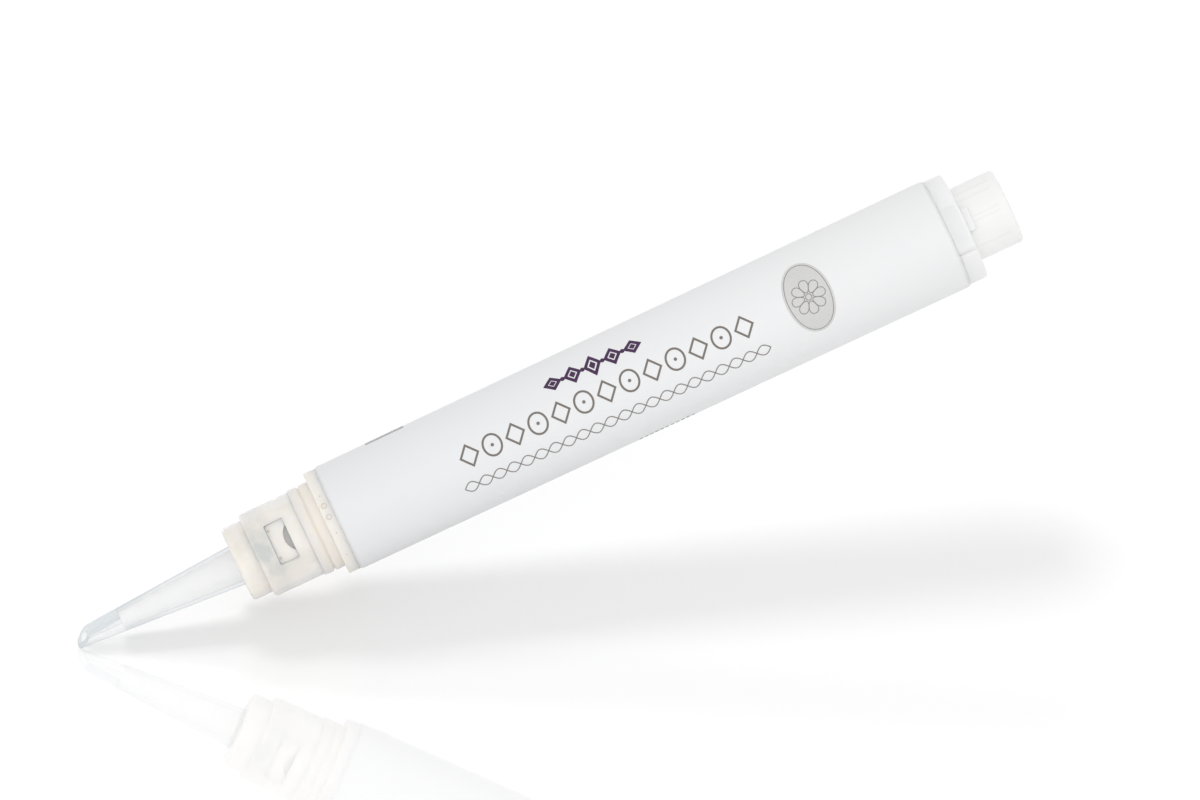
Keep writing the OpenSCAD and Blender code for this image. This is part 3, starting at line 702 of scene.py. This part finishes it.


# The nozzle is clear polypropylene with a flat and a bevel ground on its tip. Its bore has the matt
# skin of the mould's core pin, so that it looks milky inside the clear wall, whose outline is
# darkened to bluish grey with painted shade, most near the shoulder. The tip is solid but for its
# fine outlet.
nozzle_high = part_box("nozzle")[1]
nozzle_len = 20 * mm
nozzle_flange_t = 1.0 * mm
nozzle_flange_r = nozzle_high.z
nozzle_root_r = 2.35 * mm
tip_r = 1.025 * mm
tip_round = 0.3 * mm
bore_root_r, bore_tip_r, outlet_r = 1.6 * mm, 0.8 * mm, 0.45 * mm
flat_len = 5.7 * mm
flat_step = 0.36 * mm
flat_slope = math.radians(6)
bevel_len = 1.1 * mm
bevel_slope = math.radians(43)
flat_turn = math.radians(45)
tip = holder_low.x - nozzle_len
shoulder = tip + flat_len
same_way = 0.9999


def grinder(x, r, slope):
    """A block that cuts away all above a plane through (x, r), which falls towards the tip."""
    mesh = bmesh.new()
    bmesh.ops.create_cube(mesh, size=1)
    size = Vector((3 * flat_len, 3 * nozzle_root_r, 2 * nozzle_root_r))
    turn = Matrix.Rotation(flat_turn, 4, "X")
    pitch = Matrix.Translation((x, 0, r)) @ Matrix.Rotation(-slope, 4, "Y")
    over = Matrix.Translation((-size.x / 2 + flat_len * (slope > flat_slope), 0, size.z / 2))
    bmesh.ops.transform(mesh, matrix=turn @ pitch @ over @ Matrix.Diagonal((*size, 1)),
                        verts=mesh.verts)
    return mesh


def ground_nozzle():
    flange_front = nozzle_high.x - nozzle_flange_t
    slope = (nozzle_root_r - tip_r) / (nozzle_len - tip_round)
    body = turned(rounded([
        (nozzle_high.x, bore_root_r, edge), (shoulder, bore_tip_r, edge), (shoulder, outlet_r),
        (tip, outlet_r), (tip, tip_r - slope * tip_round, tip_round),
        (shoulder, tip_r + slope * (flat_len - tip_round)),
        (holder_low.x, nozzle_root_r), (flange_front, nozzle_root_r),
        (flange_front, nozzle_flange_r, edge), (nozzle_high.x, nozzle_flange_r, edge)]))
    flat_start = tip_r + slope * (flat_len - tip_round) - flat_step
    return worked(body, ("DIFFERENCE", grinder(shoulder, flat_start, flat_slope)),
                  ("DIFFERENCE", grinder(tip + bevel_len, 0, bevel_slope)))


def clear_wall():
    m = finish_of("clear_nozzle")
    drag = m.noise(2200, 3, stretch=(0.12, 1, 1))
    # Painted shade: the wall's outline is darkened to bluish grey, most near the shoulder.
    near_flat = m.node("MapRange", {}, {"Value": m.spot()["X"], "From Min": shoulder, "To Min": 1.8,
                                        "From Max": shoulder + flat_len, "To Max": 0.75})
    shade = (m.rim(1.6) * near_flat).at_most(0.45)
    return m.skin(relief=drag, depth=0.002 * mm,
                  Base_Color=m.between(shade, (0.985, 0.99, 0.995), (0.12, 0.19, 0.24)),
                  Roughness=0.08 + 0.05 * drag, IOR=1.3, Transmission_Weight=1.0)


def milky_bore():
    m = finish_of("core_pin_skin")
    cloud = m.noise(900, 3)
    return m.skin(Base_Color=m.between(cloud, (0.97, 0.96, 0.945), (0.99, 0.985, 0.97)),
                  Roughness=0.45 + 0.1 * cloud, IOR=1.2, Alpha=0.16 + 0.08 * cloud)


def clear_tip():
    m = finish_of("clear_tip")
    drag = m.noise(2200, 3, stretch=(0.12, 1, 1))
    # Painted shade: towards its outline the tip is painted darker bluish grey and made less clear.
    rim = m.rim(2.0)
    return m.skin(relief=drag, depth=0.002 * mm,
                  Base_Color=m.between(rim, (0.85, 0.88, 0.9), (0.6, 0.66, 0.7)),
                  Roughness=0.1 + 0.05 * drag, IOR=1.45, Alpha=0.1 + 0.06 * drag + 0.4 * rim)


def ground_skin():
    m = finish_of("ground_flat")
    scratch = m.noise(5000, 4, stretch=(0.1, 1, 1))
    return m.skin(relief=scratch, depth=0.004 * mm,
                  Base_Color=m.between(scratch, (0.6, 0.66, 0.7), (0.74, 0.79, 0.82)),
                  Roughness=0.4 + 0.15 * scratch, IOR=1.3, Alpha=0.44 + 0.24 * scratch)


nozzle = piece("ground_nozzle", ground_nozzle(),
               [clear_wall(), milky_bore(), ground_skin(), clear_tip()],
               "pen_body", replaced=["nozzle"])
bore_slope = (bore_root_r - bore_tip_r) / (nozzle_high.x - shoulder)
ground_out = [Matrix.Rotation(flat_turn, 3, "X") @ Vector((-math.sin(a), 0, math.cos(a)))
              for a in (flat_slope, bevel_slope)]
for face in nozzle.data.polygons:
    middle = face.center
    bore_here = bore_tip_r + bore_slope * (middle.x - shoulder)
    if middle.x > shoulder - edge and math.hypot(middle.y, middle.z) < bore_here + edge:
        face.material_index = 1
    elif max(face.normal.dot(out) for out in ground_out) > same_way:
        face.material_index = 2
    elif middle.x < shoulder:
        face.material_index = 3


# The tip holder is a stepped collar of cloudy plastic that clips the nozzle on. Two windows let the
# connector's lugs snap in. What lies under its wall shows as warm clouds, and its shaded hollow as a
# grey patch of painted shade in front of the window. The wall is painted lighter at its top and
# bottom, painted light where the white room shows through it. These are all in the finish.
sleeve_r = 5.0 * mm
ring_r, ring_len = 4.375 * mm, 2.4 * mm
holder_round = 0.45 * mm
holder_wall = 1.2 * mm
holder_bore_r = 3.98 * mm
holder_gap = 0.03 * mm
window_front, window_rear, window_w = -6.5 * mm, -4.2 * mm, 4.8 * mm
window_round = 0.15 * mm
shade_patch_x, shade_patch_len, shade_patch_h = -7.4 * mm, 2.0 * mm, 3.7 * mm


def collar():
    step = holder_low.x + ring_len
    inner = nozzle_root_r + holder_gap
    pocket = nozzle_flange_r + holder_gap
    seat = connector_low.x - holder_gap
    body = turned(rounded([
        (holder_low.x, inner, edge), (holder_low.x + holder_wall, inner),
        (holder_low.x + holder_wall, pocket), (seat, pocket),
        (seat, holder_bore_r), (holder_high.x, holder_bore_r, edge),
        (holder_high.x, sleeve_r, edge / 2), (step, sleeve_r, holder_round),
        (step, ring_r), (holder_low.x, ring_r, holder_round)]))
    cuts = [("DIFFERENCE", block(window_front, window_rear, window_w, 0, sleeve_r + past,
                                 window_turn + side, window_round)) for side in (0, math.pi)]
    return worked(body, *cuts)


def cloudy_clear():
    m = finish_of("cloudy_clear")
    spot = m.spot()
    cloud = m.noise(330, 3)
    patch = m.noise(760, 4, stretch=(1, 0.7, 0.7))
    drag = m.noise(2600, 3, stretch=(0.2, 1, 1))
    # A grey patch of painted shade in front of the window, for the shaded hollow under the wall.
    near_step = (1 - abs((spot["X"] - shade_patch_x) * (1 / shade_patch_len))).at_least(0.0)
    near_side = (1 - abs(spot["Z"] * (1 / shade_patch_h))).at_least(0.0)
    grey = ((1.6 * near_step).at_most(1.0) * (0.5 + near_side) * (2.2 * patch - 0.45)).at_most(1.0)
    # Painted light: the wall is lighter towards its top and bottom, where the white room shows
    # through it.
    painted_light_band = ((abs(spot["Z"]) - holder_bore_r * 0.93) * (1 / mm)).at_least(0.0).at_most(0.6)
    streak = ((cloud - 0.5) * 3.2 + 0.5).at_least(0.0).at_most(1.0)
    cream = m.between(streak, (0.86, 0.825, 0.765), (0.97, 0.9, 0.84))
    cream_and_light_band = m.between(painted_light_band, cream, (0.97, 0.94, 0.92))
    return m.skin(relief=drag, depth=0.003 * mm,
                  Base_Color=m.between(grey.at_least(0.0), cream_and_light_band, (0.64, 0.655, 0.64)),
                  Roughness=0.16 + 0.1 * drag, IOR=1.45, Subsurface_Weight=0.6,
                  Subsurface_Radius=(1.0, 0.9, 0.75), Subsurface_Scale=1.0 * mm)


piece("clip_collar", collar(), cloudy_clear(), "pen_body", replaced=["tip_holder"])


# The label is a satin polypropylene film, wrapped once round the barrel. Its end overlaps its
# start along the far side, where the film steps down by its own thickness.
film_t = 0.05 * mm
tuck = 1.1 * film_t
overlap, ramp = math.radians(14), math.radians(7)
seam_turn = math.radians(178)
film_sides = 240

label_low, label_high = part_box("label")
label_front_r = reach("label", label_low.x)
label_rear_r = reach("label", label_high.x)


def label_r(x):
    """The label's radius at x: the barrel widens a little towards its rear."""
    share = (x - label_low.x) / (label_high.x - label_low.x)
    return label_front_r + (label_rear_r - label_front_r) * share


def wrapped_film():
    rings = []
    for i in range(film_sides + 1):
        turn = (2 * math.pi + overlap) * i / film_sides
        rest = max(0.0, min(1.0, (turn - overlap) / ramp))
        sunk = tuck * (1 - rest * rest * (3 - 2 * rest))
        ring = []
        for x, inner in ((label_low.x, 1), (label_low.x, 0), (label_high.x, 0), (label_high.x, 1)):
            ring.append(around(x, label_r(x) - sunk - inner * film_t, seam_turn + turn))
        rings.append(ring)
    return skinned(rings)


def satin_film():
    m = finish_of("satin_film")
    painted_sheen = m.noise(60, 2, stretch=(0.4, 1, 1))
    peel = m.noise(1600, 3)
    share = m.node("MapRange", {}, {"Value": m.spot()["X"], "From Min": label_low.x,
                                    "From Max": label_high.x, "To Min": -0.2, "To Max": 0.8})
    return m.skin(relief=peel, depth=0.002 * mm,
                  # The film is lighter towards its rear, and soft clouds of painted sheen lie over
                  # its colour.
                  Base_Color=m.between(share + 0.4 * painted_sheen, (0.838, 0.845, 0.858),
                                       (0.89, 0.893, 0.9)),
                  Roughness=0.4 + 0.08 * peel, IOR=1.49)


piece("wrapped_label", wrapped_film(), satin_film(), "pen_body",
      replaced=["label"], crease=20)


# The print on the label: a plum ornament, a taupe border of plain figures, a thin grey double wave,
# a pale badge with a flower, and small rules and dashes near the upper and lower edges. It is screen
# ink, a hair proud of the film.
ink_t = 0.012 * mm


def ink(name, tint):
    m = finish_of(name)
    speck = m.noise(5200, 4)
    deep = tuple(0.82 * c for c in tint)
    return m.skin(relief=speck, depth=0.002 * mm, Base_Color=m.between(speck, deep, tint),
                  Roughness=0.38 + 0.12 * speck)


def diamond(x, v, rx, rv):
    return [(x - rx, v), (x, v + rv), (x + rx, v), (x, v - rv)]


def printed(name, drawings, material):
    piece(name, raised(drawings, label_r, ink_t), material, "pen_body", crease=30)


plum_x, plum_v = 34.4 * mm, 3.65 * mm
plum_w, plum_h = 10.8 * mm, 2.3 * mm
plum_figures, plum_dot_sides = 9, 16
plum_line, plum_margin, plum_taper = 0.37 * mm, 0.5 * mm, 0.4
plum_figure_r, plum_core_r, plum_dot_r = 0.85 * mm, 0.42 * mm, 0.27 * mm
plum = []
for i in range(plum_figures):
    share = 2 * i / (plum_figures - 1) - 1
    x = plum_x + share * (plum_w / 2 - plum_margin)
    tall = plum_h / 2 * (1 - plum_taper * abs(share))
    if i % 2 == 0:
        plum.append(filled(diamond(x, plum_v, plum_core_r, tall / 2), (x, plum_v)))
        plum.append(stroke(diamond(x, plum_v, plum_figure_r, tall), plum_line, True))
    else:
        plum.append(filled(circle(x, plum_v, plum_dot_r, plum_dot_r, plum_dot_sides), (x, plum_v)))
printed("plum_ornament", plum, ink("plum_ink", (0.05, 0.007, 0.07)))

border_x0, border_x1 = 16.3 * mm, 52.9 * mm
border_v, border_h = 0.12 * mm, 2.7 * mm
border_line, border_dot_r = 0.24 * mm, 0.2 * mm
border_figures = 13
border_tall = border_h / 2 - border_line / 2
border_wide = 0.86 * border_tall
taupe = []
for i in range(border_figures):
    x = border_x0 + (border_x1 - border_x0) * (i + 0.5) / border_figures
    if i % 2:
        taupe.append(stroke(circle(x, border_v, border_wide, border_tall), border_line, True))
        dot = circle(x, border_v, border_dot_r, border_dot_r, dot_sides)
        taupe.append(filled(dot, (x, border_v)))
    else:
        taupe.append(stroke(diamond(x, border_v, border_wide, border_tall), border_line, True))
printed("taupe_border", taupe, ink("taupe_ink", (0.2, 0.175, 0.155)))

wave_x0, wave_x1 = 15.7 * mm, 53.3 * mm
wave_v, wave_h = -3.3 * mm, 1.25 * mm
wave_halves, half_steps = 22, 12
wave_line = 0.13 * mm
grey = []
for phase in (0, math.pi):
    path = [(wave_x0 + (wave_x1 - wave_x0) * i / (wave_halves * half_steps),
             wave_v + wave_h / 2 * math.sin(math.pi * i / half_steps + phase))
            for i in range(wave_halves * half_steps + 1)]
    grey.append(stroke(path, wave_line))
printed("wave_border", grey, ink("grey_ink", (0.27, 0.25, 0.235)))

badge_x, badge_v = 59.45 * mm, 0.1 * mm
badge_rx, badge_rv, badge_sides = 2.75 * mm, 4.3 * mm, 64
inner_rx, inner_rv = 0.9 * badge_rx, 0.93 * badge_rv
petals, petal_steps = 8, 16
petal_r, petal_len, petal_w, petal_fullness = 0.5 * mm, 1.5 * mm, 0.5 * mm, 0.3
flower_line, badge_line = 0.09 * mm, 0.08 * mm
printed("badge_ground", [filled(circle(badge_x, badge_v, badge_rx, badge_rv, badge_sides),
                                (badge_x, badge_v))], ink("badge_ink", (0.74, 0.735, 0.73)))


def petal(turn):
    """The outline of one petal of the badge's flower, from its round middle outwards."""
    points = []
    for i in range(petal_steps):
        a = 2 * math.pi * i / petal_steps
        out = petal_r + petal_len / 2 * (1 - math.cos(a))
        side = petal_w * math.sin(a) * (1 - petal_fullness * math.cos(a))
        points.append((badge_x + out * math.cos(turn) - side * math.sin(turn),
                       badge_v + out * math.sin(turn) + side * math.cos(turn)))
    return points


eye_r = 0.7 * petal_r
flower = [stroke(petal(2 * math.pi * i / petals), flower_line, True) for i in range(petals)]
flower.append(stroke(circle(badge_x, badge_v, eye_r, eye_r, ring_sides), flower_line, True))
flower.append(stroke(circle(badge_x, badge_v, inner_rx, inner_rv, badge_sides), badge_line, True))
piece("badge_flower", raised(flower, label_r, 2 * ink_t),
      ink("line_ink", (0.3, 0.29, 0.285)), "pen_body", crease=30)

rule_x0, rule_x1 = 7.7 * mm, 12.4 * mm
rule_v, rule_step, rule_count = 8.5 * mm, 0.7 * mm, 5
dash_x0, dash_len, dash_gap, dash_count = 35.8 * mm, 0.42 * mm, 0.22 * mm, 11
dash_v, dash_rows = -9.0 * mm, 3
rule_line, dash_line = 0.24 * mm, 0.2 * mm
rules = []
for i in range(rule_count):
    v = rule_v + i * rule_step
    rules.append(stroke([(rule_x0, v), (rule_x1, v)], rule_line))
for row in range(dash_rows):
    for i in range(dash_count):
        x = dash_x0 + i * (dash_len + dash_gap)
        v = dash_v - row * rule_step
        rules.append(stroke([(x, v), (x + dash_len, v)], dash_line))
printed("small_rules", rules, ink("rule_ink", (0.08, 0.075, 0.072)))


# The pen's tip touches two sheets: a clear glossy pane that runs towards the camera and mirrors the
# pen, and a white card that rises behind it and takes its shadow. A wide lamp above and behind lights
# the card alone, a very soft one by the camera lights the pen, and the room around is white.
card_tilt, card_near, card_far = math.radians(41), 0.08, 0.16
pane_tilt, pane_near = math.radians(6), 0.32
stage_left, stage_right = 0.04, 0.22
near_share, far_share, share_run = 0.61, 0.55, 0.075
gloss_share = 0.26
fall_right, fall_down, fall_near = 14.5, 50, 24.7
window_strength, window_spread = 1.45, math.radians(17)
front_strength, front_spread, front_lift = 0.49, math.radians(60), 0.06
room_strength = 0.835


def sheet(name, tilt, near, far, material):
    """A flat sheet that the nozzle's tip touches, tilted up away from the camera."""
    face = up * math.cos(tilt) - forward * math.sin(tilt)
    away = forward * math.cos(tilt) + up * math.sin(tilt)
    touch = min((v.co for v in nozzle.data.vertices), key=lambda p: p.dot(face))
    mesh = bmesh.new()
    mesh.faces.new([mesh.verts.new(touch + right * a + away * b) for a, b in (
        (-stage_left, -near), (stage_right, -near), (stage_right, far), (-stage_left, far))])
    data = bpy.data.meshes.new(name)
    mesh.to_mesh(data)
    mesh.free()
    data.materials.append(material)
    made = bpy.data.objects.new(name, data)
    bpy.context.scene.collection.objects.link(made)
    return made, face, away


def shown_to(path):
    """1 for the rays by which a surface shows, straight, mirrored or through glass."""
    return path["Is Camera Ray"] + path["Is Glossy Ray"] + path["Is Transmission Ray"]


def white_card():
    """White card that glows a little where it is seen, and is clear from behind."""
    m = finish_of("white_card")
    path = m.node("LightPath")
    seen = shown_to(path)
    behind = m.node("NewGeometry")["Backfacing"] * path["Is Camera Ray"]
    share = m.node("MapRange", {}, {"Value": m.spot()["X"], "From Min": tip,
                                    "From Max": tip + share_run,
                                    "To Min": near_share, "To Max": far_share})
    matt = m.node("BsdfDiffuse", {}, {"Color": m.between(seen, (0.6, 0.6, 0.6), (0.8, 0.8, 0.8))})
    glow = m.node("Emission", {}, {"Color": (1, 1, 1), "Strength": 1.0})
    card = m.node("MixShader", {}, {0: 1 - seen * (1 - share), 1: glow, 2: matt})
    clear = m.node("BsdfTransparent")
    m.node("OutputMaterial", {}, {"Surface": m.node("MixShader", {}, {0: behind, 1: card, 2: clear})})
    return m.owner


def clear_pane():
    """A clear pane whose front mirrors a share of what is before it."""
    m = finish_of("clear_pane")
    front = 1 - m.node("NewGeometry")["Backfacing"]
    gloss = m.node("BsdfGlossy", {}, {"Color": (1, 1, 1), "Roughness": 0.03})
    clear = m.node("BsdfTransparent")
    m.node("OutputMaterial", {}, {"Surface": m.node(
        "MixShader", {}, {0: gloss_share * front, 1: clear, 2: gloss})})
    return m.owner


card, card_up, card_away = sheet("white_card", card_tilt, card_near, card_far, white_card())
pane = sheet("clear_pane", pane_tilt, pane_near, 0.0, clear_pane())[0]
for ray in ("shadow", "diffuse", "glossy", "transmission"):
    setattr(pane, "visible_" + ray, False)


def lamp(name, direction, strength, spread):
    """A far soft lamp whose light travels along a direction."""
    sun = bpy.data.lights.new(name, "SUN")
    sun.energy, sun.angle = strength, spread
    made = bpy.data.objects.new(name, sun)
    made.rotation_mode = "QUATERNION"
    made.rotation_quaternion = direction.normalized().to_track_quat("-Z", "Y")
    bpy.context.scene.collection.objects.link(made)
    return made


shadow_fall = right * fall_right - card_up * fall_down - card_away * fall_near
window_light = lamp("window_light", shadow_fall, window_strength, window_spread)
card_only = bpy.data.collections.new("card_only")
card_only.objects.link(card)
window_light.light_linking.receiver_collection = card_only
lamp("front_light", forward + up * front_lift, front_strength, front_spread)

sky = Shader(bpy.data.worlds.new("white_room"))
bpy.context.scene.world = sky.owner
room = sky.node("Background", {}, {"Color": (1, 1, 1), "Strength": room_strength})
plain = sky.node("Background", {}, {"Color": (1, 1, 1), "Strength": 1.0})
mixed = sky.node("MixShader", {}, {0: shown_to(sky.node("LightPath")), 1: room, 2: plain})
sky.node("OutputWorld", {}, {"Surface": mixed})
